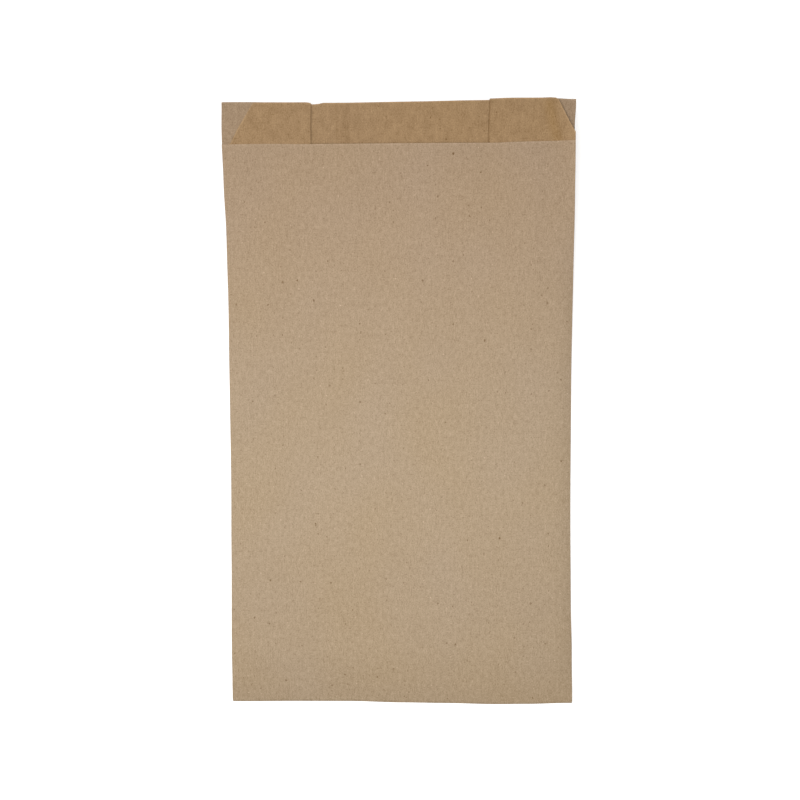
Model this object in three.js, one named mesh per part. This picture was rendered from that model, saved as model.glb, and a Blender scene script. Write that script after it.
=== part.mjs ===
import * as THREE from 'three';

// A flat paper carrier bag with side gussets, lying on its back, in millimetres.
// X runs across the bag, Y from the folded bottom to the mouth, Z up out of the front panel.
// The whole bag is one sheet: a pasted tube, pressed flat, with its bottom end turned under.

// Driving dimensions of the bag.
const BAG_WIDTH = 200; // across the panels, crease to crease
const BAG_LENGTH = 350; // from the bottom fold to the top edge of the back panel
const GUSSET_DEPTH = 50; // how far each side is folded in
const PAPER_THICKNESS = 0.1;
const AIR_GAP = 0.12; // air between two pressed plies
const PASTE_GAP = 0.05; // paste and air inside the bottom fold

// The stepped cut of the sheet: the back stands above the front, with a slanted run at each side.
const LIP_DROP = 24; // how far the front edge lies below the back edge
const SLANT_RUN = 13.3; // width of the slanted part of the cut
const LEFT_SLANT_FOOT = 5; // from the left front crease, measured into the gusset
const RIGHT_SLANT_FOOT = -2.8; // from the right front crease: the slant meets the crease above the front's cut

// The pasted seam down the back, and the bottom end that is turned under.
const SEAM_LAP = 8; // width of the doubled paper
const SEAM_CENTRE = -31; // across the back panel
const SEAM_EDGE = 0.15; // run of the small step at each ply edge
const SEAM_EASE = 12; // over this width the outer ply comes back into line
const BOTTOM_TURN = 8; // back panel's share of the turned end

// How far the plies spring apart, front panel above back panel.
const MIDDLE_PUFF = 3.2;
const MIDDLE_MOUTH = 1.2;
const SIDE_SPRING = 1.6;
const LEFT_MOUTH = 1.1;
const RIGHT_MOUTH = 3.4;
const PUFF_START = 70; // from the bottom fold
const MOUTH_START = 230; // from here on the heights run to those of the mouth
const SIDE_SHARPNESS = 4; // power of the panel's curve towards the creases

// The mouth half curls up from the table in a shallow S.
const CURL_RISE = 12.5;
const CURL_RUN = 160;
const MOUTH_LEVEL = 15; // the last stretch before the mouth lies level again
const CURL_START = BAG_LENGTH - MOUTH_LEVEL - CURL_RUN;
const BED_END = 90; // from the bottom fold to where the back panel reaches the table
const TURN_STEP = 7; // run over which the back panel comes down past each turned ply

// Fineness of the surface.
const SPINE_STEP = 1;
const BEND_SIDES = 4;
const FOLD_SIDES = 6;
const PANEL_STEP = 33;
const FLAT_STEP = 36;
const CURL_STEP = 12;

const PLY = PAPER_THICKNESS + AIR_GAP; // height from one pressed ply to the next
const HALF_WIDTH = BAG_WIDTH / 2;
const BEND_RADIUS = PLY / 2; // of every crease along the bag
const BEND_LENGTH = Math.PI * BEND_RADIUS;
const CREASE_X = HALF_WIDTH - BEND_RADIUS; // where a panel ends and its crease bend starts
const INNER_X = HALF_WIDTH - GUSSET_DEPTH; // the gusset's inner crease
const PRESSED = 3 * PLY; // front panel above back panel where all four plies are pressed
const FOLD_RADIUS = (3 * PAPER_THICKNESS + PASTE_GAP) / 2; // leaves room for the seam against itself
const FOLD_HALF = (Math.PI / 2) * FOLD_RADIUS;

const TURNED_Z = PAPER_THICKNESS / 2 + PRESSED; // back ply of the turned end, seen from the table
const OVER_FOUR_Z = TURNED_Z + 2 * FOLD_RADIUS;
const OVER_LIP_Z = PAPER_THICKNESS / 2 + PLY + 2 * FOLD_RADIUS;
const ON_TABLE_Z = 1.5 * PAPER_THICKNESS; // the seam's outer ply lies on the table
const LIP_END = BOTTOM_TURN + LIP_DROP;

function smooth(start, end, value) {
  const t = THREE.MathUtils.clamp((value - start) / (end - start), 0, 1);
  return t * t * (3 - 2 * t);
}

function mix(from, to, share) {
  return from + (to - from) * share;
}

// Height of the back panel above the table at a distance from the bottom fold.
function bedHeight(along) {
  const pastTurn = smooth(BOTTOM_TURN + TURN_STEP / 4, BOTTOM_TURN + TURN_STEP, along);
  const pastLip = smooth(LIP_END, BED_END, along);
  const curl = smooth(CURL_START, CURL_START + CURL_RUN, along);
  const low = mix(mix(OVER_FOUR_Z, OVER_LIP_Z, pastTurn), ON_TABLE_Z, pastLip);
  return low + CURL_RISE * curl;
}

// The back panel's line from the bottom fold to past the mouth, keeping the paper's true length.
function walkBed(length) {
  const line = [{ y: 0, z: bedHeight(0), slope: 0 }];
  for (let along = SPINE_STEP; along <= length + SPINE_STEP; along += SPINE_STEP) {
    const rise = bedHeight(along) - bedHeight(along - SPINE_STEP);
    const last = line[line.length - 1];
    last.slope = Math.asin(rise / SPINE_STEP);
    line.push({ y: last.y + Math.sqrt(SPINE_STEP ** 2 - rise ** 2), z: last.z + rise, slope: last.slope });
  }
  return line;
}

const BED = walkBed(BAG_LENGTH + LIP_DROP);

// Where the back panel's middle layer lies, and which way the other plies are stacked on it.
function spineAt(along) {
  if (along <= -FOLD_HALF) {
    return { y: -FOLD_HALF - along, z: TURNED_Z, up: [0, -1] };
  }
  if (along < FOLD_HALF) {
    const turn = along / FOLD_RADIUS;
    const out = [-Math.cos(turn), Math.sin(turn)];
    const middle = TURNED_Z + FOLD_RADIUS;
    return { y: FOLD_RADIUS * out[0], z: middle + FOLD_RADIUS * out[1], up: out };
  }
  const steps = (along - FOLD_HALF) / SPINE_STEP;
  const index = Math.min(Math.floor(steps), BED.length - 2);
  const share = steps - index;
  const before = BED[index];
  const after = BED[index + 1];
  const slope = mix(before.slope, after.slope, share);
  return {
    y: mix(before.y, after.y, share),
    z: mix(before.z, after.z, share),
    up: [-Math.sin(slope), Math.cos(slope)],
  };
}

// Front panel above back panel, at the bag's middle and at its side creases.
function frontHeight(x, along) {
  const opened = smooth(0, PUFF_START, along);
  const toMouth = smooth(MOUTH_START, BAG_LENGTH, along);
  const middle = mix(mix(PRESSED, MIDDLE_PUFF, opened), MIDDLE_MOUTH, toMouth);
  const mouthSide = x < 0 ? LEFT_MOUTH : RIGHT_MOUTH;
  const side = mix(mix(PRESSED, SIDE_SPRING, opened), mouthSide, toMouth);
  return mix(middle, side, Math.abs(x / HALF_WIDTH) ** SIDE_SHARPNESS);
}

// Heights of the gusset's two halves at a place across the bag.
function innerCreaseHeight(side, along) {
  return frontHeight(side * INNER_X, along) / 2;
}

function gussetShare(x) {
  return (Math.abs(x) - INNER_X) / (CREASE_X - INNER_X);
}

function gussetFrontHeight(x, along) {
  const side = Math.sign(x);
  const depthInside = frontHeight(side * INNER_X, along) - innerCreaseHeight(side, along) - PLY / 2;
  return frontHeight(x, along) - mix(depthInside, PLY, gussetShare(x));
}

function gussetBackHeight(x, along) {
  const inside = innerCreaseHeight(Math.sign(x), along) - PLY / 2;
  return mix(inside, PLY, gussetShare(x));
}

// How far the sheet's cut lies below the back's top edge, at a distance past the front crease.
// The front panel's own cut is straight right up to the crease.
function cutDrop(side, pastCrease) {
  if (pastCrease <= 0) {
    return LIP_DROP;
  }
  const foot = side < 0 ? LEFT_SLANT_FOOT : RIGHT_SLANT_FOOT;
  const share = THREE.MathUtils.clamp((foot + SLANT_RUN - pastCrease) / SLANT_RUN, 0, 1);
  return LIP_DROP * share;
}

// Places of the slant's two ends, as seen from the front.
function slantPlaces(side) {
  const foot = side < 0 ? LEFT_SLANT_FOOT : RIGHT_SLANT_FOOT;
  const places = [foot, foot + SLANT_RUN].map((past) => CREASE_X + BEND_LENGTH - past);
  return places.filter((x) => x > INNER_X && x < CREASE_X);
}

// Places across one gusset from its inner crease to the side crease. The slant's ends always have
// a line, and an even line stays only where it has room beside them.
function gussetStops(side) {
  const slant = slantPlaces(side);
  const even = [0, 0.33, 0.66, 1].map((share) => mix(INNER_X, CREASE_X, share));
  const kept = even.filter((x, i) => {
    const isEnd = i === 0 || i === even.length - 1;
    return isEnd || slant.every((place) => Math.abs(place - x) > SLANT_RUN / 3);
  });
  return [...kept, ...slant].sort((a, b) => a - b);
}

// One column of the sheet: its place in the section, its cut, and how the wall lies about it.
function column(point, drop, outward = PAPER_THICKNESS / 2, inward = PAPER_THICKNESS / 2) {
  return { point, drop, outward, inward };
}

// The half turn of a crease, from its upper ply down to its lower one, bulging to the right or left.
function bendColumns(centre, bulge, dropAt) {
  const made = [];
  for (let i = 1; i < BEND_SIDES; i += 1) {
    const share = i / BEND_SIDES;
    const turn = Math.PI / 2 - bulge * Math.PI * share;
    const point = (along) => {
      const [x, height] = centre(along);
      return [x + BEND_RADIUS * Math.cos(turn), height + BEND_RADIUS * Math.sin(turn)];
    };
    made.push(column(point, dropAt(BEND_LENGTH * share)));
  }
  return made;
}

// The front panel, from the left crease to the right one.
function frontColumns() {
  const middle = [];
  const count = Math.max(2, Math.round((2 * INNER_X) / PANEL_STEP));
  for (let i = 1; i < count; i += 1) {
    middle.push(mix(-INNER_X, INNER_X, i / count));
  }
  const left = gussetStops(-1).map((x) => -x).reverse();
  const places = [...left, ...middle, ...gussetStops(1)];
  return places.map((x) => {
    const side = Math.sign(x) || 1;
    return column((along) => [x, frontHeight(x, along)], cutDrop(side, Math.abs(x) - CREASE_X));
  });
}

// One gusset, from the front crease in to the inner crease and out again to the back crease.
function gussetColumns(side) {
  const stops = gussetStops(side);
  const dropAt = (past) => cutDrop(side, past);
  const noDrop = () => 0;
  const frontCrease = (along) => [side * CREASE_X, frontHeight(side * CREASE_X, along) - BEND_RADIUS];
  const innerCrease = (along) => [side * INNER_X, innerCreaseHeight(side, along)];
  const backCrease = () => [side * CREASE_X, BEND_RADIUS];
  const frontHalf = [...stops].reverse().map((place) => {
    const x = side * place;
    return column((along) => [x, gussetFrontHeight(x, along)], dropAt(CREASE_X - place + BEND_LENGTH));
  });
  const backHalf = stops.map((place) => {
    const x = side * place;
    return column((along) => [x, gussetBackHeight(x, along)], 0);
  });
  return [
    ...bendColumns(frontCrease, side, dropAt),
    ...frontHalf,
    ...bendColumns(innerCrease, -side, noDrop),
    ...backHalf,
    ...bendColumns(backCrease, side, noDrop),
  ];
}

// The back panel, from the right crease to the left one, with the doubled strip of the pasted seam.
function backColumns() {
  const half = PAPER_THICKNESS / 2;
  const lap = PAPER_THICKNESS;
  const right = SEAM_CENTRE + SEAM_LAP / 2;
  const left = SEAM_CENTRE - SEAM_LAP / 2;
  const seam = [
    [right, half, half],
    [right - SEAM_EDGE, half + lap, half],
    [left + SEAM_EDGE, half + lap, half],
    [left, half + lap, half - lap],
    [left - SEAM_EASE, half, half],
  ];
  const plain = [];
  const count = Math.max(2, Math.round((2 * CREASE_X) / PANEL_STEP));
  for (let i = 0; i <= count; i += 1) {
    const x = mix(CREASE_X, -CREASE_X, i / count);
    const clear = x > right + SEAM_LAP / 2 || x < left - SEAM_EASE - SEAM_LAP / 2;
    if (clear) {
      plain.push([x, half, half]);
    }
  }
  const places = [...plain, ...seam].sort((a, b) => b[0] - a[0]);
  return places.map(([x, outward, inward]) => column(() => [x, 0], 0, outward, inward));
}

// Stations along the bag that every column shares, from the bottom end to below the mouth's cut.
function sharedStations() {
  const made = [];
  for (let i = 0; i <= FOLD_SIDES; i += 1) {
    made.push(mix(-FOLD_HALF, FOLD_HALF, i / FOLD_SIDES));
  }
  made.push(BOTTOM_TURN + TURN_STEP / 4, BOTTOM_TURN + TURN_STEP, LIP_END);
  const topStart = BAG_LENGTH - 2 * LIP_DROP;
  const flat = Math.max(2, Math.round((CURL_START - LIP_END) / FLAT_STEP));
  for (let i = 1; i <= flat; i += 1) {
    made.push(mix(LIP_END, CURL_START, i / flat));
  }
  const curl = Math.max(2, Math.round((topStart - CURL_START) / CURL_STEP));
  for (let i = 1; i <= curl; i += 1) {
    made.push(mix(CURL_START, topStart, i / curl));
  }
  return made;
}

// Each column's stations: its own turned end, the shared ones, and its own run up to the cut.
function stationsOf(drop, shared) {
  const turned = -(BOTTOM_TURN + drop);
  const top = BAG_LENGTH - drop;
  const last = shared[shared.length - 1];
  const under = [1, 0.5].map((share) => mix(shared[0], turned, share));
  const mouth = [0.25, 0.5, 0.75, 1].map((share) => mix(last, top, share));
  return [...under, ...shared, ...mouth];
}

function placed([x, height], along) {
  const spine = spineAt(along);
  return new THREE.Vector3(x, spine.y + spine.up[0] * height, spine.z + spine.up[1] * height);
}

// The middle surface as rows of points, and its outward direction at each of them.
function middleSurface(columns) {
  const shared = sharedStations();
  const lines = columns.map((one) => stationsOf(one.drop, shared).map((v) => placed(one.point(v), v)));
  const directions = lines.map((line, c) => line.map((_, r) => {
    const next = lines[(c + 1) % lines.length][r];
    const before = lines[(c - 1 + lines.length) % lines.length][r];
    const above = line[Math.min(r + 1, line.length - 1)];
    const below = line[Math.max(r - 1, 0)];
    const across = next.clone().sub(before);
    const up = above.clone().sub(below);
    return across.cross(up).normalize();
  }));
  return { lines, directions };
}

// A closed wall about the middle surface, with cut edges at the mouth and at the turned end.
function sheetGeometry() {
  const columns = [...frontColumns(), ...gussetColumns(1), ...backColumns(), ...gussetColumns(-1).reverse()];
  const { lines, directions } = middleSurface(columns);
  const rows = lines[0].length;
  const count = columns.length;
  const positions = [];
  const push = (c, r, offset) => {
    const point = lines[c][r].clone().addScaledVector(directions[c][r], offset);
    positions.push(point.x, point.y, point.z);
  };
  columns.forEach((one, c) => {
    for (let r = 0; r < rows; r += 1) {
      push(c, r, one.outward);
      push(c, r, -one.inward);
    }
  });
  const outer = (c, r) => 2 * ((c % count) * rows + r);
  const inner = (c, r) => outer(c, r) + 1;
  const faces = [];
  const quad = (a, b, c, d) => faces.push(a, b, c, a, c, d);
  for (let c = 0; c < count; c += 1) {
    for (let r = 0; r < rows - 1; r += 1) {
      quad(outer(c, r), outer(c + 1, r), outer(c + 1, r + 1), outer(c, r + 1));
      quad(inner(c, r), inner(c, r + 1), inner(c + 1, r + 1), inner(c + 1, r));
    }
    quad(outer(c, rows - 1), outer(c + 1, rows - 1), inner(c + 1, rows - 1), inner(c, rows - 1));
    quad(outer(c, 0), inner(c, 0), inner(c + 1, 0), outer(c + 1, 0));
  }
  const geometry = new THREE.BufferGeometry();
  geometry.setAttribute('position', new THREE.Float32BufferAttribute(positions, 3));
  geometry.setIndex(faces);
  return geometry;
}

// Origin at the middle of the underside.
function centred(geometry) {
  geometry.computeBoundingBox();
  const box = geometry.boundingBox;
  geometry.translate(-(box.min.x + box.max.x) / 2, -(box.min.y + box.max.y) / 2, -box.min.z);
  geometry.computeVertexNormals();
  return geometry;
}

const kraft = new THREE.MeshStandardMaterial({ color: 0xb69f84, roughness: 0.92, metalness: 0 });
const bag = new THREE.Mesh(centred(sheetGeometry()), kraft);
bag.name = 'paper_bag';

const model = new THREE.Group();
model.add(bag);

export default model;
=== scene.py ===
"""A flat kraft paper bag with side gussets, lying on its back on a pale table, seen from above."""

import math

import bpy
from mathutils import Euler, Matrix, Vector


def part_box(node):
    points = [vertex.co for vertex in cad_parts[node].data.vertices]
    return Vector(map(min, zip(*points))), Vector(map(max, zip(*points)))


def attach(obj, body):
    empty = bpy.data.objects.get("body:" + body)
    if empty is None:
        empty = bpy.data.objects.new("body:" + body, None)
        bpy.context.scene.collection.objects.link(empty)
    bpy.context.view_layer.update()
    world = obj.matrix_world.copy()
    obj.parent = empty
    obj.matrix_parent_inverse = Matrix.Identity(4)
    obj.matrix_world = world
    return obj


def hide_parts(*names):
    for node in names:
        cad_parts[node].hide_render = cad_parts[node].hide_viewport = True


bl_info = {
    "name": "Kraft Paper Bag",
    "version": (1, 0, 0),
    "blender": (4, 5, 0),
    "location": "View3D > Sidebar > Paper Bag",
    "description": "Folds a flat paper bag from its cut sheet and sets the table, lamps and camera",
    "category": "Object",
}

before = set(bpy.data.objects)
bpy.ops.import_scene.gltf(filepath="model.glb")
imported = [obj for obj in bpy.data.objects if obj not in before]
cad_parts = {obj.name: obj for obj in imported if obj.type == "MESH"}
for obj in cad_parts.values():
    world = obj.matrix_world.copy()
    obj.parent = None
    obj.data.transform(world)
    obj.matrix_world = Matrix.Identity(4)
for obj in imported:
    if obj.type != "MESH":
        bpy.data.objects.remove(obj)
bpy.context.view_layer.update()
CAD_LOW, CAD_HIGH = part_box("paper_bag")

MM = 0.001

# The pressed stack: how the plies lie on one another.
AIR_GAP = 0.12 * MM
PASTE_GAP = 0.05 * MM
SEAM_LAP = 8 * MM
SEAM_CENTRE = -31 * MM
SEAM_EASE = 12 * MM
# How far the seam's outer ply lies below the panel, as a share of the paper's thickness.
SEAM_DROP = 1.1
BOTTOM_TURN = 8 * MM

# The slanted ends of the cut, measured from each front crease into its gusset.
SLANT_RUN = 13.3 * MM
SLANT_FOOT = {-1: 5 * MM, 1: -2.8 * MM}

# Front panel above back panel: middle, left crease, right crease. The height turns from the middle's to
# a crease's close beside the crease, the closer the sharper.
PUFFED = (2.6 * MM, 1.3 * MM, 0.8 * MM)
AT_MOUTH = (1.3 * MM, 1.1 * MM, 3.3 * MM)
SIDE_SHARPNESS = 22
# Where the plies have come apart above the bottom fold, and where they start to close towards the mouth.
PUFF_START = 32 * MM
MOUTH_START = 230 * MM

# The back panel's line: over the turned bottom, down to the table, and the curl of the mouth half.
BED_END = 90 * MM
TURN_STEP = 7 * MM
MOUTH_LEVEL = 15 * MM
CURL_RUN = 160 * MM
# How far the line runs on past the turned end, its steps there, and its further steps past the mouth.
LINE_MARGIN = 2 * MM
TURNED_STEP = 4 * MM
LINE_OVERRUN = 5

# Fineness of the sheet.
ACROSS_STEP = 3 * MM
ALONG_STEP = 2.7 * MM
CREASE_SUPPORT = (0.35 * MM, 1.1 * MM)
CLOSEST_PLACES = 0.2 * MM
BEND_SIDES = 5
FOLD_SIDES = 12
MOUTH_ROWS = 20
MERGE_DISTANCE = 0.002 * MM
SHARP_ANGLE = math.radians(50)

# The sheet's own map: its margin, and how far away the paper's inner face lies on it.
UV_MARGIN = 10 * MM
LINING_SHIFT = 450 * MM

# Over what widths the front panel's swells die out beside its creases and beside the bottom fold.
HELD_AT_CREASE = 9 * MM
HELD_AT_FOLD = (4 * MM, 22 * MM)
COCKLE_SIZE = 14 * MM
# Over what length from the bottom fold the slow waves of the whole stack come in.
WAVES_FROM_FOLD = (20 * MM, 90 * MM)

# The bag's folding is a little off square. Each list is (along the bag, shift to the right) in mm.
LEFT_CREASE_SHIFT = ((2, -0.25), (30, -0.43), (89, -0.07), (133, 0.19), (191, -0.09), (249, 0.73),
                     (278, 0.9), (306, 0.2), (335, -0.55), (348, -0.4))
RIGHT_CREASE_SHIFT = ((2, 1.2), (30, 1.0), (60, 0.38), (118, 0.0), (191, 0.35), (235, 0.4),
                      (278, 0.25), (306, 0.0), (335, -0.1), (348, 0.6))
# Each list is (across the bag, shift towards the mouth) in mm.
FOLD_SHIFT = ((-97, 0.28), (-59, 0.6), (-30, 0.68), (0, -0.03), (27, -0.3), (55, -0.82),
              (73, -0.6), (97, 0.06))
FRONT_CUT_SHIFT = ((-97, 0.45), (-77, 0.5), (-50, 0.1), (0, 0.05), (32, -0.03), (56, -0.2), (66, 0.2),
                   (97, 0.5))
BACK_CUT_SHIFT = ((-97, 0.55), (-56, -0.2), (-29, -0.5), (13, -0.2), (40, 0.1), (80, 0.3),
                  (90, 0.45), (97, 0.05))
GUSSET_CUT_SHIFT = ((-97, 0.3), (-92, 1.1), (-86, 0.7), (-81, 0.0), (-56, -0.2), (0, 0),
                    (50, 0.7), (62, 0.95), (80, 0.8), (87, 0.9), (91, -0.4))
# How far along the bag the bottom fold's shifts reach.
FOLD_SHIFT_REACH = 60 * MM
# How far each inner crease lies to the right of the square bag's.
INNER_CREASE_SHIFT = {-1: 0.7 * MM, 1: 1.6 * MM}
# How much darker each inner crease is drawn, partly crushed paper and partly painted shade of the gap beneath
# it, and how far it reaches.
CREASE_CRUSH_AND_SHADE = {-1: 0.08, 1: 0.45}
CREASE_WIDTH = 0.55 * MM
# Painted shade on the outer face of each gusset, where it lies folded in under the front plies: how much
# darker.
GUSSET_PAINTED_SHADE = {-1: 0.09, 1: 0.13}
# A small rounded nick in the back panel's cut: middle, depth and half width.
NICK = (-47.2 * MM, 1.1 * MM, 3 * MM)

# Soft creases pressed into the front panel: from, to (across, along), height and half width, in mm.
SOFT_CREASES = (
    ((76, 322), (77, 240), 0.30, 5.0),
    ((-34, 44), (-44, 10), 0.22, 2.2),
    ((66, 26), (74, 20), 0.25, 6.0),
)

# Noise layers of the paper: size across and along the sheet in mm, detail, and shift aside.
CLOUDS = (16, 22, 2)
MOTTLE = (2.2, 3.0, 2)
STREAKS = (0.9, 5.0, 1)
SPECKS = (0.6, 0.8, 1)
FLECKS = (0.9, 1.2, 0, 7.3)
LINING_CLOUDS = (5, 7, 1, 3.1)
HUE_CLOUDS = (45, 60, 1, 2.7)
# How far each layer turns the paper's tone, hue or roughness up and down.
CLOUDS_TONE = 0.06
MOTTLE_TONE = 0.24
STREAKS_TONE = 0.2
SPECKS_TONE = 0.54
LINING_TONE = 0.26
HUE_TONE = 0.12
ROUGHNESS_TONE = 0.12
# The layers' relief, as shares of its depth.
MOTTLE_RELIEF = 0.5
STREAKS_RELIEF = 0.3
SPECKS_RELIEF = 0.35
RELIEF_DEPTH = 0.06 * MM
RELIEF_STRENGTH = 0.35
# Dark fibre ends: where their noise starts and is full, and how dark they are.
FLECK_RANGE = (0.66, 0.86)
FLECK_TONE = 0.16
# Pale fibres: their net's cell in mm, how far it bends, half thickness, where they break, and brightness.
FIBRE_CELL = (5, 6)
FIBRE_BEND = 0.9
FIBRE_WIDTH = 0.05
FIBRE_BREAKS = (0.56, 0.72)
FIBRE_TONE = 0.11
# Fineness of the noise that bends the fibres and of the one that breaks them, in waves per metre.
FIBRE_BEND_SCALE = 260
FIBRE_BREAK_SCALE = 420
# Scattered bits: how much longer than wide, size of their ragged edge's noise in mm and its reach,
# soft edge in mm, and the faintest one's share of the deepest tone.
BIT_STRETCH = 1.3
RAGGED_SIZE = 0.7
RAGGED_REACH = 0.9
BIT_EDGE = 0.1
FAINTEST_BIT = 0.3
# Each kind of bit: cell and largest radius in mm, deepest tone, and shift aside.
BARK = (9, 0.65, -0.48)
FINE_BARK = (5, 0.44, -0.5, 4.9)
PALE_BITS = (4, 0.4, 0.4, 11.7)
LINING_BITS = (3, 0.42, 0.28, 5.3)
# How strongly the grain shows in red, green and blue, so that it looks neutral on the brown paper.
GRAIN_TINT = (0.88, 1.0, 1.2)
# How far the slow drift of the paper's hue turns red, green and blue.
HUE_DRIFT = (0.1, 0.3, 1.0)
# Between which places along the bag the outer face turns darker and warmer: painted shade of the curled mouth
# half.
MOUTH_SHADE_SPAN = (130 * MM, 350 * MM)
# Painted shade near the bottom fold: where it ends, and how much darker.
FOLD_PAINTED_SHADE_END = 40 * MM
FOLD_PAINTED_SHADE = 0.06
# Wider painted shade over the bottom quarter: where it fades out, how much darker, and how much warmer.
LOW_PAINTED_SHADE_SPAN = (45 * MM, 120 * MM)
LOW_PAINTED_SHADE = 0.026
LOW_PAINTED_WARMTH = 0.012
# The pasted strip of the seam: how much darker, and half the width of its soft edge.
STRIP_SHADE = 0.09
STRIP_EDGE = 0.6 * MM
# Painted shade on the bent part of the right flap: its two ends from the crease and the cut, half width, how
# much darker and how much warmer.
BENT_ENDS = ((15 * MM, -4 * MM), (10 * MM, -22 * MM))
BENT_WIDTH = 5.5 * MM
BENT_FLAP_PAINTED_SHADE = 0.05
BENT_PAINTED_WARMTH = 0.13
# A bright band along the cuts, outside and inside, partly torn pale fibres and partly a painted highlight of
# the cut edge: width and brightness.
CUT_FIBRES_AND_HIGHLIGHT = (1.3 * MM, 0.1)
LINING_FIBRES_AND_HIGHLIGHT = (0.9 * MM, 0.12)

TABLE_HALF_WIDTH = 3.0
# Each lamp: its place, what it is aimed at, and its size.
TOP_LAMP = ((-0.03, -0.04, 0.5), (-0.03, -0.04, 0.0), 0.3)
SIDE_LAMP = ((-2.2, 0.4, 2.0), (0.0, 0.0, 0.0), 1.2)
SENSOR_WIDTH = 36


def mix(start, end, share):
    return start + (end - start) * share


def smooth(start, end, value):
    share = min(max((value - start) / (end - start), 0.0), 1.0)
    return share * share * (3 - 2 * share)


def along_list(points, place):
    """The value at a place of a short list of (place, value) points, joined by smooth steps."""
    if place <= points[0][0]:
        return points[0][1]
    for (start, low), (end, high) in zip(points, points[1:]):
        if place <= end:
            return mix(low, high, smooth(start, end, place))
    return points[-1][1]


def even_places(start, end, step):
    count = max(1, round(abs(end - start) / step))
    return [mix(start, end, i / count) for i in range(count + 1)]


def linear(color):
    """A written colour, with its display curve taken off, as a shader wants it."""
    return tuple(c / 12.92 if c <= 0.04045 else ((c + 0.055) / 1.055) ** 2.4 for c in color) + (1.0,)


class BagSizes(bpy.types.PropertyGroup):
    """Sizes of the folded bag."""

    width: bpy.props.FloatProperty(
        name="Width", description="Across the panels, crease to crease",
        default=round(CAD_HIGH[0] - CAD_LOW[0], 3), unit="LENGTH")
    length: bpy.props.FloatProperty(
        name="Length", description="From the bottom fold to the back panel's cut edge",
        default=350 * MM, unit="LENGTH")
    gusset: bpy.props.FloatProperty(
        name="Gusset", description="How deep each side is folded in", default=50 * MM, unit="LENGTH")
    lip: bpy.props.FloatProperty(
        name="Lip", description="How far the back panel stands above the front one",
        default=24 * MM, unit="LENGTH")
    paper: bpy.props.FloatProperty(
        name="Paper", description="Thickness of the paper", default=0.1 * MM, unit="LENGTH")
    curl: bpy.props.FloatProperty(
        name="Curl", description="How high the mouth lies above the table", default=12.5 * MM, unit="LENGTH")
    waves: bpy.props.FloatProperty(
        name="Waves", description="Height of the slow waves of the whole pressed stack",
        default=0.5 * MM, unit="LENGTH")
    wave_size: bpy.props.FloatProperty(
        name="Wave size", description="Distance from one slow wave to the next",
        default=70 * MM, unit="LENGTH")
    cockle: bpy.props.FloatProperty(
        name="Cockle", description="Height of the small swells of the front panel",
        default=0.1 * MM, unit="LENGTH")


class PaperLook(bpy.types.PropertyGroup):
    """Colours and finish of the kraft paper."""

    outer: bpy.props.FloatVectorProperty(
        name="Outside", description="Colour of the paper's outer face", subtype="COLOR",
        default=(0.738, 0.647, 0.534))
    # The outer face's colour near the mouth, darker and warmer than the outside: painted shade of the curled
    # mouth half.
    shaded_at_mouth: bpy.props.FloatVectorProperty(
        name="Outside at the mouth", description="Colour of the outer face near the mouth", subtype="COLOR",
        default=(0.720, 0.616, 0.505))
    inner: bpy.props.FloatVectorProperty(
        name="Inside", description="Colour of the paper's inner face", subtype="COLOR",
        default=(0.685, 0.557, 0.408))
    edge: bpy.props.FloatVectorProperty(
        name="Cut edge", description="Colour of the torn fibres along the cut", subtype="COLOR",
        default=(0.76, 0.67, 0.55))
    grain: bpy.props.FloatProperty(
        name="Grain", description="Strength of the fibre pattern", default=1.0)
    roughness: bpy.props.FloatProperty(
        name="Roughness", description="Roughness of the paper's face", default=0.86)


class TableLook(bpy.types.PropertyGroup):
    """Table, lamps and camera."""

    floor: bpy.props.FloatVectorProperty(
        name="Table", description="Colour of the table", subtype="COLOR", default=(0.86, 0.86, 0.86))
    top_power: bpy.props.FloatProperty(
        name="Top lamp", description="Power of the soft lamp above the bag", default=1.3, unit="POWER")
    side_power: bpy.props.FloatProperty(
        name="Side lamp", description="Power of the far lamp on the left", default=21.0, unit="POWER")
    sky: bpy.props.FloatProperty(
        name="Room light", description="Strength of the even light from all round", default=0.32)
    camera_x: bpy.props.FloatProperty(
        name="Camera across", description="Camera's place across the bag", default=10.84 * MM, unit="LENGTH")
    camera_y: bpy.props.FloatProperty(
        name="Camera along", description="Camera's place along the bag", default=19.72 * MM, unit="LENGTH")
    camera_z: bpy.props.FloatProperty(
        name="Camera height", description="Camera's height above the table", default=480 * MM, unit="LENGTH")
    yaw: bpy.props.FloatProperty(
        name="Yaw", description="Camera's turn about the bag's length", default=0.0221, unit="ROTATION")
    pitch: bpy.props.FloatProperty(
        name="Pitch", description="Camera's turn about the bag's width", default=-0.03088, unit="ROTATION")
    roll: bpy.props.FloatProperty(
        name="Roll", description="Camera's turn about its own view", default=-0.00439, unit="ROTATION")
    focal_share: bpy.props.FloatProperty(
        name="Focal share", description="Focal length as a share of the picture's width", default=1.01935)


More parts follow.
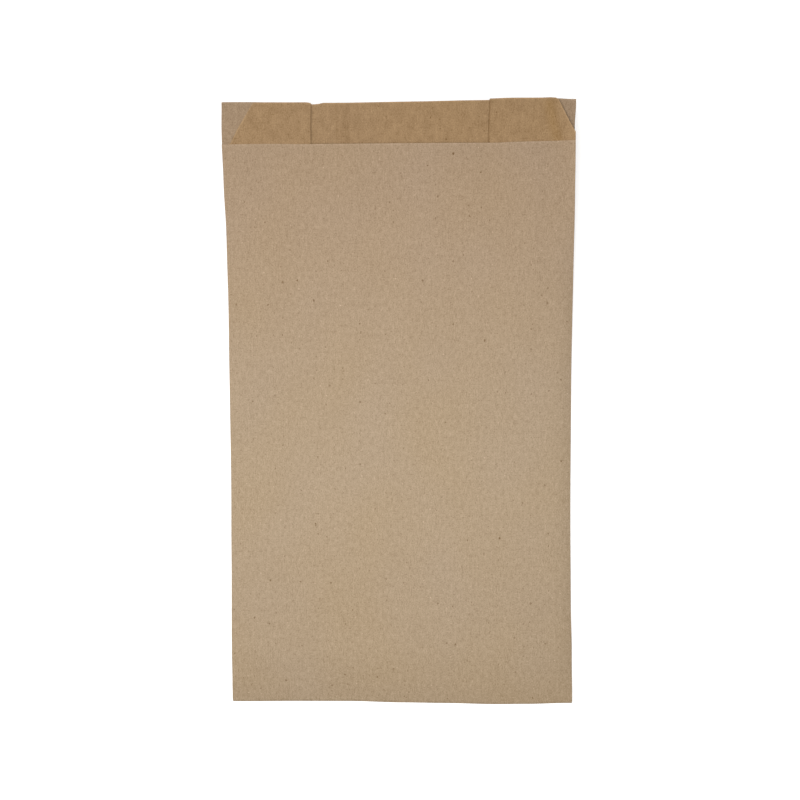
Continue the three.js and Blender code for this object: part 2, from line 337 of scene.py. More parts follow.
class Stack:
    """Heights and bends of the pressed plies, worked out from the bag's sizes."""

    def __init__(self, sizes):
        self.sizes = sizes
        self.ply = sizes.paper + AIR_GAP
        self.bend = self.ply / 2
        self.half = sizes.width / 2
        self.crease = self.half - self.bend
        self.inner = self.half - sizes.gusset
        self.pressed = 3 * self.ply
        self.fold = (3 * sizes.paper + PASTE_GAP) / 2
        self.fold_half = math.pi / 2 * self.fold
        self.turned_z = sizes.paper / 2 + self.pressed
        self.outer_fold = self.fold + self.pressed + sizes.paper / 2

    def front_height(self, x, state):
        middle, left, right = state
        side = left if x < 0 else right
        return mix(middle, side, abs(x / self.half) ** SIDE_SHARPNESS)

    def gusset_share(self, x):
        return (abs(x) - self.inner) / (self.crease - self.inner)

    def inner_height(self, side, state):
        return self.front_height(side * self.inner, state) / 2

    def gusset_front(self, x, state):
        side = math.copysign(1, x)
        inside = self.front_height(side * self.inner, state) - self.inner_height(side, state) - self.bend
        return self.front_height(x, state) - mix(inside, self.ply, self.gusset_share(x))

    def gusset_back(self, x, state):
        inside = self.inner_height(math.copysign(1, x), state) - self.bend
        return mix(inside, self.ply, self.gusset_share(x))

    def cut_drop(self, side, past):
        """How far the cut lies below the back panel's, at a distance past a front crease into its gusset."""
        if past <= 0:
            return self.sizes.lip
        share = (SLANT_FOOT[side] + SLANT_RUN - past) / SLANT_RUN
        return self.sizes.lip * min(max(share, 0.0), 1.0)

    def bed(self, along):
        """Height of the back panel's middle layer above the table."""
        paper = self.sizes.paper
        over_four = self.turned_z + 2 * self.fold
        over_lip = paper / 2 + self.ply + 2 * self.fold
        past_turn = smooth(BOTTOM_TURN + TURN_STEP / 4, BOTTOM_TURN + TURN_STEP, along)
        past_lip = smooth(BOTTOM_TURN + self.sizes.lip, BED_END, along)
        low = mix(mix(over_four, over_lip, past_turn), 1.5 * paper, past_lip)
        curl_end = self.sizes.length - MOUTH_LEVEL
        return low + self.sizes.curl * smooth(curl_end - CURL_RUN, curl_end, along)


class Column:
    """One line of the sheet along the bag: its place in the section and how far its cut lies down."""

    def __init__(self, point, drop=0.0, loose=0.0, cut_shift=BACK_CUT_SHIFT, painted_gusset_shade=0.0, crease_crush_and_shade=0.0,
                 shift=0.0):
        self.point = point
        self.drop = drop
        self.loose = loose
        self.cut_shift = cut_shift
        self.painted_gusset_shade = painted_gusset_shade
        self.crease_crush_and_shade = crease_crush_and_shade
        self.shift = shift


def bend_columns(stack, centre, bulge, drop_at, **marks):
    """The lines round one bent crease, bulging to the left or to the right of its centre."""
    made = []
    for i in range(1, BEND_SIDES):
        share = i / BEND_SIDES
        turn = math.pi / 2 - bulge * math.pi * share

        def point(state, turn=turn):
            x, height = centre(state)
            return x + stack.bend * math.cos(turn), height + stack.bend * math.sin(turn)

        made.append(Column(point, drop_at(math.pi * stack.bend * share), **marks))
    return made


def gusset_places(stack, side):
    """Places across one gusset from the inner crease to the side crease, closer beside the creases."""
    places = even_places(stack.inner, stack.crease, ACROSS_STEP)
    places += [stack.inner + gap for gap in CREASE_SUPPORT]
    places += [stack.crease - gap for gap in CREASE_SUPPORT]
    if SLANT_FOOT[side] > 0:
        places.append(stack.crease - SLANT_FOOT[side])
    places.append(stack.crease + 2 * stack.bend - SLANT_FOOT[side] - SLANT_RUN)
    places.sort()
    kept = [places[0]]
    for place in places[1:]:
        if place - kept[-1] > CLOSEST_PLACES:
            kept.append(place)
    kept[-1] = stack.crease
    return kept


def front_columns(stack):
    left = [-x for x in reversed(gusset_places(stack, -1))]
    middle = even_places(-stack.inner, stack.inner, ACROSS_STEP)[1:-1]
    made = []
    for x in left + middle + gusset_places(stack, 1):
        side = -1 if x < 0 else 1
        from_crease = stack.crease - abs(x)
        loose = smooth(0, HELD_AT_CREASE, from_crease)
        made.append(Column(lambda state, x=x: (x, stack.front_height(x, state)),
                           stack.cut_drop(side, -from_crease), loose, FRONT_CUT_SHIFT))
    return made


def gusset_columns(stack, side):
    """One gusset, from the front crease in to the inner crease and out again to the back crease."""
    places = gusset_places(stack, side)
    crease_x = side * stack.crease
    bend_length = math.pi * stack.bend

    def front_crease(state):
        return crease_x, stack.front_height(crease_x, state) - stack.bend

    def inner_crease(state):
        return side * stack.inner, stack.inner_height(side, state)

    def back_crease(state):
        return crease_x, stack.bend

    def marks(place):
        inward = 1 - stack.gusset_share(place)
        near_crease = 1 - smooth(0, CREASE_WIDTH, place - stack.inner)
        # Painted shade on the gusset's outer face, and a darker line at the inner crease, partly crushed
        # paper and partly painted shade.
        return {"painted_gusset_shade": GUSSET_PAINTED_SHADE[side], "crease_crush_and_shade": CREASE_CRUSH_AND_SHADE[side] * near_crease,
                "shift": INNER_CREASE_SHIFT[side] * inward}

    made = bend_columns(stack, front_crease, side, lambda past: stack.cut_drop(side, past))
    for place in reversed(places):
        x = side * place
        made.append(Column(lambda state, x=x: (x, stack.gusset_front(x, state)),
                           stack.cut_drop(side, stack.crease - place + bend_length) + nick_depth(x),
                           cut_shift=GUSSET_CUT_SHIFT, **marks(place)))
    made += bend_columns(stack, inner_crease, -side, lambda past: nick_depth(side * stack.inner),
                         **marks(stack.inner))
    for place in places:
        x = side * place
        made.append(Column(lambda state, x=x: (x, stack.gusset_back(x, state)), nick_depth(x),
                           **marks(place)))
    return made + bend_columns(stack, back_crease, side, lambda past: 0.0)


def nick_depth(x):
    centre, depth, half_width = NICK
    return depth * math.exp(-((x - centre) / half_width) ** 2)


def back_columns(stack, start, end, outer_ply):
    """Part of the back panel. The outer ply of the seam lies one paper lower and eases back into line."""
    seam_left = SEAM_CENTRE - SEAM_LAP / 2
    drop = stack.sizes.paper * SEAM_DROP if outer_ply else 0.0
    made = []
    for x in even_places(start, end, ACROSS_STEP):
        low = -drop * smooth(seam_left - SEAM_EASE, seam_left, x)
        made.append(Column(lambda state, x=x, low=low: (x, low), nick_depth(x)))
    return made


def sheet_columns(stack):
    """The whole sheet, from its outer edge at the seam round the tube to its inner edge."""
    outer_edge = SEAM_CENTRE + SEAM_LAP / 2
    inner_edge = SEAM_CENTRE - SEAM_LAP / 2
    columns = back_columns(stack, outer_edge, -stack.crease, True)
    columns += reversed(gusset_columns(stack, -1))
    columns += front_columns(stack)
    columns += gusset_columns(stack, 1)
    columns += back_columns(stack, stack.crease, inner_edge, False)
    return columns


def shared_rows(stack):
    """Stations that every column has, from the bottom fold to below the mouth's cut."""
    rows = even_places(-BOTTOM_TURN / 2, -stack.fold_half, ALONG_STEP)[:-1]
    rows += [mix(-stack.fold_half, stack.fold_half, i / FOLD_SIDES) for i in range(FOLD_SIDES)]
    rows += even_places(stack.fold_half, 4 * ALONG_STEP, ALONG_STEP / 4)[:-1]
    rows += even_places(4 * ALONG_STEP, stack.sizes.length - 2 * stack.sizes.lip, ALONG_STEP)
    return rows


def column_rows(stack, drop, shared):
    """All stations of one column, with its own turned end and its own cut."""
    under = [mix(shared[0], -(BOTTOM_TURN + drop), share) for share in (1, 0.75, 0.5, 0.25)]
    top = stack.sizes.length - drop
    mouth = [mix(shared[-1], top, i / MOUTH_ROWS) for i in range(1, MOUTH_ROWS + 1)]
    return under + shared + mouth


def off_square(stack, x, along):
    """How far the real folding and cutting lie from the square bag at one place."""
    share = (x + stack.half) / (2 * stack.half)
    place = abs(along) / MM
    across = mix(along_list(LEFT_CREASE_SHIFT, place), along_list(RIGHT_CREASE_SHIFT, place), share)
    near_fold = 1 - smooth(0, FOLD_SHIFT_REACH, abs(along))
    return across * MM, along_list(FOLD_SHIFT, x / MM) * MM * near_fold


def cut_shift(stack, column, x, along):
    """The wavering of the cut edges, which dies out below the mouth."""
    length, lip = stack.sizes.length, stack.sizes.lip
    near_mouth = smooth(length - 2.5 * lip, length - lip, along)
    return along_list(column.cut_shift, x / MM) * MM * near_mouth


def flat_sheet(stack):
    """The cut sheet laid flat. Each point keeps where the folding will take it."""
    columns = sheet_columns(stack)
    shared = shared_rows(stack)
    states = {"pressed": (stack.pressed,) * 3, "puffed": PUFFED, "at_mouth": AT_MOUTH}
    across = 0.0
    before = None
    points = []
    fields = {name: [] for name in (*states, "off_square")}
    numbers = {name: [] for name in ("along", "loose", "from_cut", "painted_gusset_shade", "crease_crush_and_shade")}
    for column in columns:
        here = Vector(column.point(states["pressed"]))
        across += (here - before).length if before else 0.0
        before = here
        rows = column_rows(stack, column.drop, shared)
        on_slant = 0.1 < column.drop / stack.sizes.lip < 0.99
        nearness = math.cos(math.atan2(stack.sizes.lip, SLANT_RUN)) if on_slant else 1.0
        for along in rows:
            points.append((across, along, 0.0))
            for name, state in states.items():
                x, height = column.point(state)
                fields[name].append((x, 0.0, height))
            shift_x, shift_y = off_square(stack, here.x, along)
            shift_x += column.shift
            shift_y += cut_shift(stack, column, here.x, along)
            fields["off_square"].append((shift_x, shift_y, 0.0))
            numbers["along"].append(along)
            numbers["loose"].append(column.loose)
            numbers["from_cut"].append(min((rows[-1] - along) * nearness, along - rows[0], across))
            numbers["painted_gusset_shade"].append(column.painted_gusset_shade)
            numbers["crease_crush_and_shade"].append(column.crease_crush_and_shade)
    count = len(rows)
    faces = []
    for c in range(len(columns) - 1):
        for r in range(count - 1):
            a = c * count + r
            faces.append((a, a + count, a + count + 1, a + 1))
    mesh = bpy.data.meshes.new("flat_sheet")
    mesh.from_pydata(points, [], faces)
    for name, values in fields.items():
        layer = mesh.attributes.new(name, "FLOAT_VECTOR", "POINT")
        layer.data.foreach_set("vector", [number for value in values for number in value])
    for name, values in numbers.items():
        mesh.attributes.new(name, "FLOAT", "POINT").data.foreach_set("value", values)
    uv = mesh.uv_layers.new(name="Sheet")
    for loop in mesh.loops:
        u, v, _ = points[loop.vertex_index]
        uv.data[loop.index].uv = (u + UV_MARGIN, v + BOTTOM_TURN + stack.sizes.lip + UV_MARGIN)
    return bpy.data.objects.new("flat_sheet", mesh)


def back_line(stack):
    """The line that the back panel's middle layer follows, from the turned end to past the mouth."""
    turned = BOTTOM_TURN + stack.sizes.lip + LINE_MARGIN
    points = [(0, turned, stack.turned_z)]
    points += [(0, y, stack.turned_z) for y in even_places(turned, 0, TURNED_STEP)[1:-1]]
    for i in range(2 * FOLD_SIDES + 1):
        turn = math.pi * (i / (2 * FOLD_SIDES) - 0.5)
        points.append((0, -stack.fold * math.cos(turn),
                       stack.turned_z + stack.fold + stack.fold * math.sin(turn)))
    y, z = 0.0, stack.bed(0)
    for i in range(1, int(stack.sizes.length / MM) + LINE_OVERRUN + 1):
        rise = stack.bed(i * MM) - stack.bed((i - 1) * MM)
        y += math.sqrt(MM * MM - rise * rise)
        z += rise
        points.append((0, y, z))
    curve = bpy.data.curves.new("back_line", "CURVE")
    curve.dimensions = "3D"
    spline = curve.splines.new("POLY")
    spline.points.add(len(points) - 1)
    for point, co in zip(spline.points, points):
        point.co = (*co, 1)
    return bpy.data.objects.new("back_line", curve), turned


class TreeMaker:
    """Short ways to add and join nodes in a node tree."""

    def __init__(self, tree):
        self.tree = tree

    def add(self, kind, inputs=(), **settings):
        node = self.tree.nodes.new(kind)
        for name, value in settings.items():
            setattr(node, name, value)
        for key, value in dict(inputs).items():
            self.feed(node.inputs[key], value)
        return node

    def feed(self, socket, value):
        if isinstance(value, bpy.types.NodeSocket):
            self.tree.links.new(value, socket)
        else:
            socket.default_value = value

    def math(self, operation, *values, clamp=False):
        node = self.add("ShaderNodeMath", operation=operation, use_clamp=clamp)
        for socket, value in zip(node.inputs, values):
            self.feed(socket, value)
        return node.outputs[0]

    def times(self, first, second):
        return self.math("MULTIPLY", first, second)

    def plus(self, first, second):
        return self.math("ADD", first, second)

    def vector(self, operation, *values):
        node = self.add("ShaderNodeVectorMath", operation=operation)
        for index, value in enumerate(values):
            socket = node.inputs["Scale"] if operation == "SCALE" and index == 1 else node.inputs[index]
            self.feed(socket, value)
        return node.outputs["Value" if operation in ("DOT_PRODUCT", "DISTANCE") else "Vector"]

    def combine(self, x=0.0, y=0.0, z=0.0):
        return self.add("ShaderNodeCombineXYZ", {"X": x, "Y": y, "Z": z}).outputs[0]

    def step(self, value, start, end):
        """A smooth step from 0 to 1."""
        node = self.add("ShaderNodeMapRange", {"Value": value, "From Min": start, "From Max": end},
                        interpolation_type="SMOOTHSTEP")
        return node.outputs["Result"]

    def fall(self, value, start, end):
        """A smooth step from 1 to 0."""
        return self.math("SUBTRACT", 1.0, self.step(value, start, end))

    def noise(self, place, scale=1.0, detail=0.0):
        """Flat noise: its grey value and its colour."""
        node = self.add("ShaderNodeTexNoise", {"Vector": place, "Scale": scale, "Detail": detail},
                        noise_dimensions="2D")
        return node.outputs[0], node.outputs[1]

    def to_line(self, place, start, end):
        """Distance of a place from a straight line between two points."""
        run = Vector((*end, 0)) - Vector((*start, 0))
        offset = self.vector("SUBTRACT", place, (*start, 0))
        share = self.math("DIVIDE", self.vector("DOT_PRODUCT", offset, tuple(run)), run.length_squared,
                          clamp=True)
        return self.vector("DISTANCE", offset, self.vector("SCALE", tuple(run), share))

    def mix_vectors(self, share, first, second):
        node = self.add("ShaderNodeMix", data_type="VECTOR")
        self.feed(node.inputs[0], share)
        self.feed(node.inputs[4], first)
        self.feed(node.inputs[5], second)
        return node.outputs[1]


def named(make, name, kind="FLOAT"):
    return make.add("GeometryNodeInputNamedAttribute", {"Name": name}, data_type=kind).outputs["Attribute"]


def crease_height(make, place, crease):
    """Height of one soft crease at a place on the front panel."""
    start, end, height, width = crease
    distance = make.to_line(place, (start[0] * MM, start[1] * MM), (end[0] * MM, end[1] * MM))
    away = make.math("POWER", make.math("DIVIDE", distance, width * MM), 2.0)
    return make.times(make.math("EXPONENT", make.times(away, -1.0)), height * MM)


def fold_tree():
    """Folds the flat sheet: section by section into the pressed tube, then along the back panel's line."""
    tree = bpy.data.node_groups.new("fold_paper_bag", "GeometryNodeTree")
    face = tree.interface
    face.new_socket("Geometry", in_out="INPUT", socket_type="NodeSocketGeometry")
    face.new_socket("Back line", in_out="INPUT", socket_type="NodeSocketObject")
    for name in ("Line start", "Length", "Puff start", "Mouth start", "Paper", "Waves", "Wave size",
                 "Cockle"):
        face.new_socket(name, in_out="INPUT", socket_type="NodeSocketFloat")
    for name in ("Outside", "Inside", "Cut edge"):
        face.new_socket(name, in_out="INPUT", socket_type="NodeSocketMaterial")
    face.new_socket("Geometry", in_out="OUTPUT", socket_type="NodeSocketGeometry")
    make = TreeMaker(tree)
    given = make.add("NodeGroupInput").outputs
    along = named(make, "along")
    from_fold = make.math("ABSOLUTE", along)

    opened = make.math("POWER", make.step(along, 0.0, given["Puff start"]), 0.5)
    to_mouth = make.step(along, given["Mouth start"], given["Length"])
    pressed, puffed, at_mouth, off_square = (
        named(make, name, "FLOAT_VECTOR") for name in ("pressed", "puffed", "at_mouth", "off_square"))
    section = make.mix_vectors(opened, pressed, puffed)
    section = make.mix_vectors(to_mouth, section, at_mouth)
    parts = make.add("ShaderNodeSeparateXYZ", {0: section}).outputs

    place = make.combine(parts["X"], along)
    loose = make.times(named(make, "loose"), make.step(along, *HELD_AT_FOLD))
    cockle, _ = make.noise(place, 1 / COCKLE_SIZE, 1.5)
    lift = make.times(cockle, given["Cockle"])
    for crease in SOFT_CREASES:
        lift = make.plus(lift, crease_height(make, place, crease))
    height = make.plus(parts["Z"], make.times(lift, loose))

    line = make.add("GeometryNodeObjectInfo", {"Object": given["Back line"]}).outputs["Geometry"]
    length = make.plus(along, given["Line start"])
    sample = make.add("GeometryNodeSampleCurve", {"Curves": line, "Length": length}, mode="LENGTH",
                      use_all_curves=True)
    tangent = make.add("ShaderNodeSeparateXYZ", {0: sample.outputs["Tangent"]}).outputs
    up = make.combine(0.0, make.times(tangent["Z"], -1.0), tangent["Y"])
    position = make.vector("ADD", sample.outputs["Position"], make.vector("SCALE", up, height))
    position = make.vector("ADD", position, make.combine(parts["X"]))
    position = make.vector("ADD", position, off_square)
    spot = make.combine(parts["X"], from_fold)
    spot = make.vector("SCALE", spot, make.math("DIVIDE", 1.0, given["Wave size"]))
    wave, _ = make.noise(spot, detail=1.0)
    swell = make.times(make.times(wave, given["Waves"]), make.step(from_fold, *WAVES_FROM_FOLD))
    position = make.vector("ADD", position, make.combine(0.0, 0.0, swell))
    folded = make.add("GeometryNodeSetPosition", {"Geometry": given["Geometry"], "Position": position})

    normal = make.add("GeometryNodeInputNormal").outputs["Normal"]
    held = make.add("GeometryNodeStoreNamedAttribute",
                    {"Geometry": folded.outputs[0], "Name": "outward", "Value": normal},
                    data_type="FLOAT_VECTOR", domain="POINT")
    outward = named(make, "outward", "FLOAT_VECTOR")
    half_in = make.vector("SCALE", outward, make.times(given["Paper"], -0.5))
    inside = make.add("GeometryNodeSetPosition", {"Geometry": held.outputs[0], "Offset": half_in})
    wall = make.add("GeometryNodeExtrudeMesh",
                    {"Mesh": inside.outputs[0], "Offset Scale": 0.0, "Individual": False}, mode="FACES")
    outside = make.add("GeometryNodeSetPosition",
                       {"Geometry": wall.outputs["Mesh"], "Selection": wall.outputs["Top"],
                        "Offset": make.vector("SCALE", outward, given["Paper"])})
    outside = make.add("GeometryNodeSetMaterial",
                       {"Geometry": outside.outputs[0], "Selection": wall.outputs["Top"],
                        "Material": given["Outside"]})
    outside = make.add("GeometryNodeSetMaterial",
                       {"Geometry": outside.outputs[0], "Selection": wall.outputs["Side"],
                        "Material": given["Cut edge"]})
    lining = make.add("GeometryNodeFlipFaces", {"Mesh": inside.outputs[0]})
    uv = named(make, "Sheet", "FLOAT_VECTOR")
    lining = make.add("GeometryNodeStoreNamedAttribute",
                      {"Geometry": lining.outputs[0], "Name": "Sheet",
                       "Value": make.vector("ADD", uv, (0.0, LINING_SHIFT, 0.0))},
                      data_type="FLOAT2", domain="CORNER")
    lining = make.add("GeometryNodeSetMaterial", {"Geometry": lining.outputs[0], "Material": given["Inside"]})
    join = make.add("GeometryNodeJoinGeometry")
    tree.links.new(outside.outputs[0], join.inputs[0])
    tree.links.new(lining.outputs[0], join.inputs[0])
    merged = make.add("GeometryNodeMergeByDistance",
                      {"Geometry": join.outputs[0], "Distance": MERGE_DISTANCE})
    real = make.add("GeometryNodeRealizeInstances", {"Geometry": merged.outputs[0]})
    make.add("NodeGroupOutput", {0: real.outputs[0]})
    return tree


def set_inputs(modifier, values):
    """Sets a node modifier's inputs by the sockets' own identifiers."""
    for socket in modifier.node_group.interface.items_tree:
        if socket.item_type == "SOCKET" and socket.in_out == "INPUT" and socket.name in values:
            modifier[socket.identifier] = values[socket.name]


class PaperPattern:
    """Kraft paper's grain, laid on the sheet's own map and moved aside for each face."""

    def __init__(self, make, strength, shift):
        self.make = make
        self.strength = strength
        self.map = make.add("ShaderNodeUVMap", uv_map="Sheet").outputs[0]
        self.sheet = make.vector("ADD", self.map, (shift, shift, 0.0))

    def scaled(self, across, along):
        return self.make.vector("MULTIPLY", self.sheet, (1 / (across * MM), 1 / (along * MM), 1.0))

    def noise(self, across, along, detail, aside=0.0):
        place = self.scaled(across, along)
        if aside:
            place = self.make.vector("ADD", place, (aside, aside, 0.0))
        return self.make.noise(place, detail=detail)[0]

    def around(self, value, amount):
        return self.make.times(self.make.math("SUBTRACT", value, 0.5), amount * self.strength)

    def dark_flecks(self):
        """Fine dark fibre ends, thicker than the paper's even grain."""
        dense = self.make.step(self.noise(*FLECKS), *FLECK_RANGE)
        return self.make.times(dense, -FLECK_TONE * self.strength)

    def shives(self, cell, largest, deepest, aside=0.0):
        """Scattered bits of bark, wood or pale fibre, many small and a few large."""
        make = self.make
        place = make.vector("ADD", self.scaled(cell, cell * BIT_STRETCH), (aside, aside, 0.0))
        _, ragged = make.noise(self.scaled(RAGGED_SIZE, RAGGED_SIZE), detail=1.0)
        ragged = make.vector("SUBTRACT", ragged, (0.5, 0.5, 0.5))
        ragged = make.vector("SCALE", ragged, RAGGED_REACH * largest / cell)
        place = make.vector("ADD", place, ragged)
        spot = make.add("ShaderNodeTexVoronoi", {"Vector": place, "Scale": 1.0}, voronoi_dimensions="2D")
        chosen = make.add("ShaderNodeSeparateXYZ", {0: spot.outputs["Color"]}).outputs
        size = make.times(make.math("POWER", chosen["X"], 4.0), largest / cell)
        cover = make.math("DIVIDE", make.math("SUBTRACT", size, spot.outputs["Distance"]), BIT_EDGE / cell,
                          clamp=True)
        depth = make.times(make.plus(make.times(chosen["Y"], 1 - FAINTEST_BIT), FAINTEST_BIT), deepest)
        return make.times(cover, depth)

    def pale_fibres(self):
        """Short pale fibres lying every way in the sheet."""
        make = self.make
        _, bend = make.noise(self.sheet, FIBRE_BEND_SCALE)
        bent = make.vector("ADD", self.scaled(*FIBRE_CELL), make.vector("SCALE", bend, FIBRE_BEND))
        edge = make.add("ShaderNodeTexVoronoi", {"Vector": bent, "Scale": 1.0}, feature="DISTANCE_TO_EDGE",
                        voronoi_dimensions="2D").outputs["Distance"]
        line = make.fall(edge, 0.0, FIBRE_WIDTH)
        broken, _ = make.noise(self.sheet, FIBRE_BREAK_SCALE)
        return make.times(make.times(line, make.step(broken, *FIBRE_BREAKS)), FIBRE_TONE)


def mark(make, name):
    """One of the sheet's own numbers, as a shader reads it."""
    return make.add("ShaderNodeAttribute", attribute_name=name).outputs["Fac"]


def cut_fibres_and_highlight(make, width, brightness):
    """Bright torn fibres and a painted highlight at the sheet's cut edges, dying out over a width."""
    return make.times(make.fall(mark(make, "from_cut"), 0.3 * width, width), brightness)


def paper_material(name, color, shaded_at_mouth, look, shift, own_marks):
    """One face of the kraft sheet. The last argument gives the tones and the hue that only this face has."""
    material = bpy.data.materials.new(name)
    material.use_nodes = True
    tree = material.node_tree
    tree.nodes.clear()
    make = TreeMaker(tree)
    grain = PaperPattern(make, look.grain, shift)
    mottle, streaks, specks = (grain.noise(*layer) for layer in (MOTTLE, STREAKS, SPECKS))
    tones, hue = own_marks(make, grain)
    tone = 0.0
    for part in (grain.around(grain.noise(*CLOUDS), CLOUDS_TONE), grain.around(mottle, MOTTLE_TONE),
                 grain.around(streaks, STREAKS_TONE), grain.around(specks, SPECKS_TONE),
                 grain.dark_flecks(), grain.shives(*BARK), grain.shives(*FINE_BARK), grain.pale_fibres(),
                 # The bright band along the cuts is partly torn fibres and partly a painted highlight.
                 grain.shives(*PALE_BITS), cut_fibres_and_highlight(make, *CUT_FIBRES_AND_HIGHLIGHT), *tones):
        tone = make.plus(tone, part)
    paper = make.add("ShaderNodeMix", data_type="RGBA")
    # Towards the mouth the outer face turns darker and warmer: painted shade.
    make.feed(paper.inputs[0], make.step(mark(make, "along"), *MOUTH_SHADE_SPAN))
    paper.inputs[6].default_value = linear(color)
    paper.inputs[7].default_value = linear(shaded_at_mouth)
    tint = make.vector("ADD", make.vector("SCALE", GRAIN_TINT, tone), (1, 1, 1))
    drift = make.plus(grain.around(grain.noise(*HUE_CLOUDS), HUE_TONE), hue)
    tint = make.vector("ADD", tint, make.vector("SCALE", HUE_DRIFT, drift))
    final = make.vector("MULTIPLY", paper.outputs[2], tint)
    rough = make.plus(grain.around(mottle, ROUGHNESS_TONE), look.roughness)
    relief = make.plus(make.times(mottle, MOTTLE_RELIEF), make.times(specks, SPECKS_RELIEF))
    relief = make.plus(relief, make.times(streaks, STREAKS_RELIEF))
    bump = make.add("ShaderNodeBump",
                    {"Strength": RELIEF_STRENGTH, "Distance": RELIEF_DEPTH, "Height": relief})
    shader = make.add("ShaderNodeBsdfPrincipled",
                      {"Base Color": final, "Roughness": rough, "Normal": bump.outputs[0]})
    shader.inputs["Specular IOR Level"].default_value = 0.25
    output = make.add("ShaderNodeOutputMaterial")
    tree.links.new(shader.outputs[0], output.inputs[0])
    return material


def outside_marks(make, grain):
    """Painted shade: the gussets' outer faces, folded in between the panels, the paper near the bottom fold
    and, wider and warmer, the bottom quarter are drawn darker.
    """
    along = mark(make, "along")
    # Painted shade over the bottom quarter, drawn darker and warmer.
    low = make.fall(along, *LOW_PAINTED_SHADE_SPAN)
    # Painted shade on the gussets' outer faces.
    tones = [make.times(mark(make, "painted_gusset_shade"), -1.0),
             # Painted shade near the bottom fold.
             make.times(make.fall(along, 0.0, FOLD_PAINTED_SHADE_END), -FOLD_PAINTED_SHADE),
             make.times(low, -LOW_PAINTED_SHADE)]
    return tones, make.times(low, -LOW_PAINTED_WARMTH)


def inside_marks(seam_start, right_crease, cut):
    """The darker pasted strip, the darker lines of the inner creases, which are crushed paper and painted
    shade, and painted shade on the bent right flap.
    """
    def marks(make, grain):
        across = make.add("ShaderNodeSeparateXYZ", {0: grain.map}).outputs["X"]
        strip = make.step(across, seam_start - STRIP_EDGE, seam_start + STRIP_EDGE)
        # Painted shade on the bent part of the right flap, drawn darker and warmer.
        start, end = ((right_crease + aside, cut + down) for aside, down in BENT_ENDS)
        bent = make.fall(make.to_line(grain.map, start, end), 0.0, BENT_WIDTH)
        # The inner creases' darker lines are crushed paper and painted shade.
        tones = [make.times(strip, -STRIP_SHADE), make.times(mark(make, "crease_crush_and_shade"), -1.0),
                 grain.around(grain.noise(*LINING_CLOUDS), LINING_TONE), grain.shives(*LINING_BITS),
                 cut_fibres_and_highlight(make, *LINING_FIBRES_AND_HIGHLIGHT), make.times(bent, -BENT_FLAP_PAINTED_SHADE)]
        return tones, make.times(bent, -BENT_PAINTED_WARMTH)

    return marks


def no_marks(make, grain):
    return [], 0.0


class OBJECT_OT_paper_bag(bpy.types.Operator):
    """Fold the paper bag from its cut sheet"""

    bl_idname = "object.make_paper_bag"
    bl_label = "Paper Bag"

    def execute(self, context):
        scene = context.scene
        sizes = scene.bag_sizes
        look = scene.paper_look
        stack = Stack(sizes)
        sheet = flat_sheet(stack)
        sheet_width = max(v.co.x for v in sheet.data.vertices)
        seam_start = sheet_width - SEAM_LAP + UV_MARGIN
        cut = sizes.length + sizes.lip + BOTTOM_TURN + UV_MARGIN + LINING_SHIFT
        right_crease = seam_start - (sizes.width / 2 - SEAM_CENTRE - SEAM_LAP / 2) - 2 * sizes.gusset
        line, line_start = back_line(stack)
        for helper in (sheet, line):
            scene.collection.objects.link(helper)
        outside = paper_material("kraft_outside", look.outer, look.shaded_at_mouth, look, 0.0, outside_marks)
        inside = paper_material("kraft_inside", look.inner, look.inner, look, 0.37,
                                inside_marks(seam_start, right_crease, cut))
        edge = paper_material("kraft_cut_edge", look.edge, look.edge, look, 0.11, no_marks)
        fold = sheet.modifiers.new("Fold", "NODES")
        fold.node_group = fold_tree()
        set_inputs(fold, {
            "Back line": line, "Line start": line_start, "Length": sizes.length, "Puff start": PUFF_START,
            "Mouth start": MOUTH_START, "Paper": sizes.paper, "Waves": sizes.waves,
            "Wave size": sizes.wave_size, "Cockle": sizes.cockle,
            "Outside": outside, "Inside": inside, "Cut edge": edge,
        })
        evaluated = sheet.evaluated_get(context.evaluated_depsgraph_get())
        mesh = bpy.data.meshes.new_from_object(evaluated)
        sheet.modifiers.remove(fold)
        for helper in (sheet, line):
            bpy.data.objects.remove(helper)
        self.place(mesh, stack)
        bag = bpy.data.objects.new("kraft_bag_sheet", mesh)
        scene.collection.objects.link(bag)
        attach(bag, "root")
        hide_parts("paper_bag")
        return {"FINISHED"}

    def place(self, mesh, stack):
        """Moves the folded sheet to the solid's place and sets its shading."""
        if not mesh.vertices:
            raise RuntimeError("the folded sheet came out empty")
        mesh.transform(Matrix.Translation((0, CAD_LOW[1] + stack.outer_fold, 0)))
        mesh.shade_smooth()
        mesh.set_sharp_from_angle(angle=SHARP_ANGLE)


def floor_material(look):
    """The pale table, plain white to the camera, with the bag's shadow kept."""
    material = bpy.data.materials.new("pale_table")
    material.use_nodes = True
    tree = material.node_tree
    tree.nodes.clear()
    make = TreeMaker(tree)
    path = make.add("ShaderNodeLightPath").outputs
    seen = make.math("MAXIMUM", path["Is Camera Ray"], path["Is Glossy Ray"])
    seen = make.math("MAXIMUM", seen, path["Is Transmission Ray"])
    color = make.add("ShaderNodeMix", data_type="RGBA")
    make.feed(color.inputs[0], seen)
    color.inputs[6].default_value = (*look.floor, 1)
    color.inputs[7].default_value = (1, 1, 1, 1)
    diffuse = make.add("ShaderNodeBsdfDiffuse", {"Color": color.outputs[2]})
    lift = make.add("ShaderNodeEmission", {"Color": (1, 1, 1, 1), "Strength": make.times(seen, 0.5)})
    both = make.add("ShaderNodeAddShader")
    tree.links.new(diffuse.outputs[0], both.inputs[0])
    tree.links.new(lift.outputs[0], both.inputs[1])
    output = make.add("ShaderNodeOutputMaterial")
    tree.links.new(both.outputs[0], output.inputs[0])
    return material


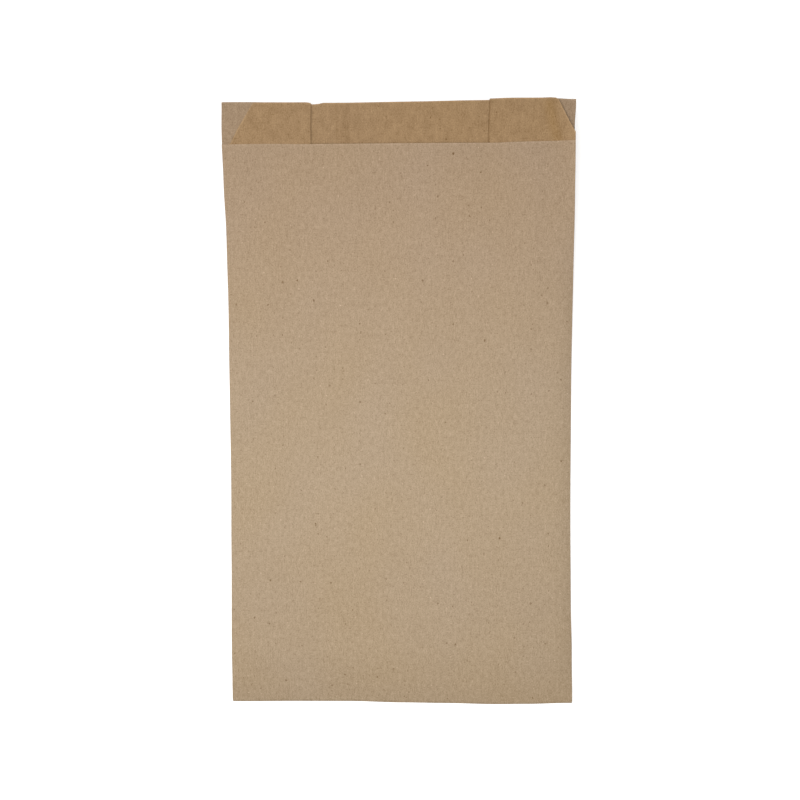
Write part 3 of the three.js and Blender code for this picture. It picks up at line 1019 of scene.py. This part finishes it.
def room_light(look):
    """Even light from all round, and a white backdrop to the camera."""
    world = bpy.data.worlds.new("room")
    world.use_nodes = True
    tree = world.node_tree
    tree.nodes.clear()
    make = TreeMaker(tree)
    path = make.add("ShaderNodeLightPath").outputs
    strength = make.add("ShaderNodeMix", data_type="FLOAT")
    make.feed(strength.inputs[0], path["Is Camera Ray"])
    make.feed(strength.inputs[2], look.sky)
    make.feed(strength.inputs[3], 1.0)
    back = make.add("ShaderNodeBackground", {"Strength": strength.outputs[0]})
    back.inputs["Color"].default_value = (1, 1, 1, 1)
    output = make.add("ShaderNodeOutputWorld")
    tree.links.new(back.outputs[0], output.inputs[0])
    return world


def add_lamp(scene, name, place, aim, size, power):
    lamp = bpy.data.lights.new(name, "AREA")
    lamp.shape = "SQUARE"
    lamp.size = size
    lamp.energy = power
    holder = bpy.data.objects.new(name, lamp)
    holder.location = place
    holder.rotation_euler = (Vector(aim) - Vector(place)).to_track_quat("-Z", "Y").to_euler()
    scene.collection.objects.link(holder)


class SCENE_OT_bag_table(bpy.types.Operator):
    """Set the table, the lamps and the camera"""

    bl_idname = "scene.make_bag_table"
    bl_label = "Table and Camera"

    def execute(self, context):
        scene = context.scene
        look = scene.table_look
        mesh = bpy.data.meshes.new("table")
        half = TABLE_HALF_WIDTH
        mesh.from_pydata([(-half, -half, 0), (half, -half, 0), (half, half, 0), (-half, half, 0)], [],
                         [(0, 1, 2, 3)])
        mesh.materials.append(floor_material(look))
        table = bpy.data.objects.new("table", mesh)
        scene.collection.objects.link(table)
        scene.world = room_light(look)
        add_lamp(scene, "top_lamp", *TOP_LAMP, look.top_power)
        add_lamp(scene, "side_lamp", *SIDE_LAMP, look.side_power)
        camera = bpy.data.cameras.new("camera")
        camera.sensor_width = SENSOR_WIDTH
        camera.lens = SENSOR_WIDTH * look.focal_share
        camera.clip_start = 0.01
        holder = bpy.data.objects.new("camera", camera)
        holder.location = (look.camera_x, look.camera_y, look.camera_z)
        turn = Euler((0, look.yaw, 0)).to_matrix() @ Euler((look.pitch, 0, 0)).to_matrix()
        turn = turn @ Euler((0, 0, look.roll)).to_matrix()
        holder.rotation_euler = turn.to_euler()
        scene.collection.objects.link(holder)
        scene.camera = holder
        scene.view_settings.view_transform = "Standard"
        return {"FINISHED"}


class VIEW3D_PT_paper_bag(bpy.types.Panel):
    """Paper bag tools"""

    bl_label = "Paper Bag"
    bl_space_type = "VIEW_3D"
    bl_region_type = "UI"
    bl_category = "Paper Bag"

    def draw(self, context):
        scene = context.scene
        for group, operator in (
            (scene.bag_sizes, OBJECT_OT_paper_bag),
            (scene.paper_look, None),
            (scene.table_look, SCENE_OT_bag_table),
        ):
            column = self.layout.column(align=True)
            for name in group.__annotations__:
                column.prop(group, name)
            if operator:
                column.operator(operator.bl_idname)


CLASSES = (BagSizes, PaperLook, TableLook, OBJECT_OT_paper_bag, SCENE_OT_bag_table, VIEW3D_PT_paper_bag)


def register():
    for cls in CLASSES:
        bpy.utils.register_class(cls)
    bpy.types.Scene.bag_sizes = bpy.props.PointerProperty(type=BagSizes)
    bpy.types.Scene.paper_look = bpy.props.PointerProperty(type=PaperLook)
    bpy.types.Scene.table_look = bpy.props.PointerProperty(type=TableLook)


def unregister():
    for name in ("table_look", "paper_look", "bag_sizes"):
        delattr(bpy.types.Scene, name)
    for cls in reversed(CLASSES):
        bpy.utils.unregister_class(cls)


def main():
    register()
    bpy.ops.object.make_paper_bag()
    bpy.ops.scene.make_bag_table()


if __name__ == "__main__":
    main()
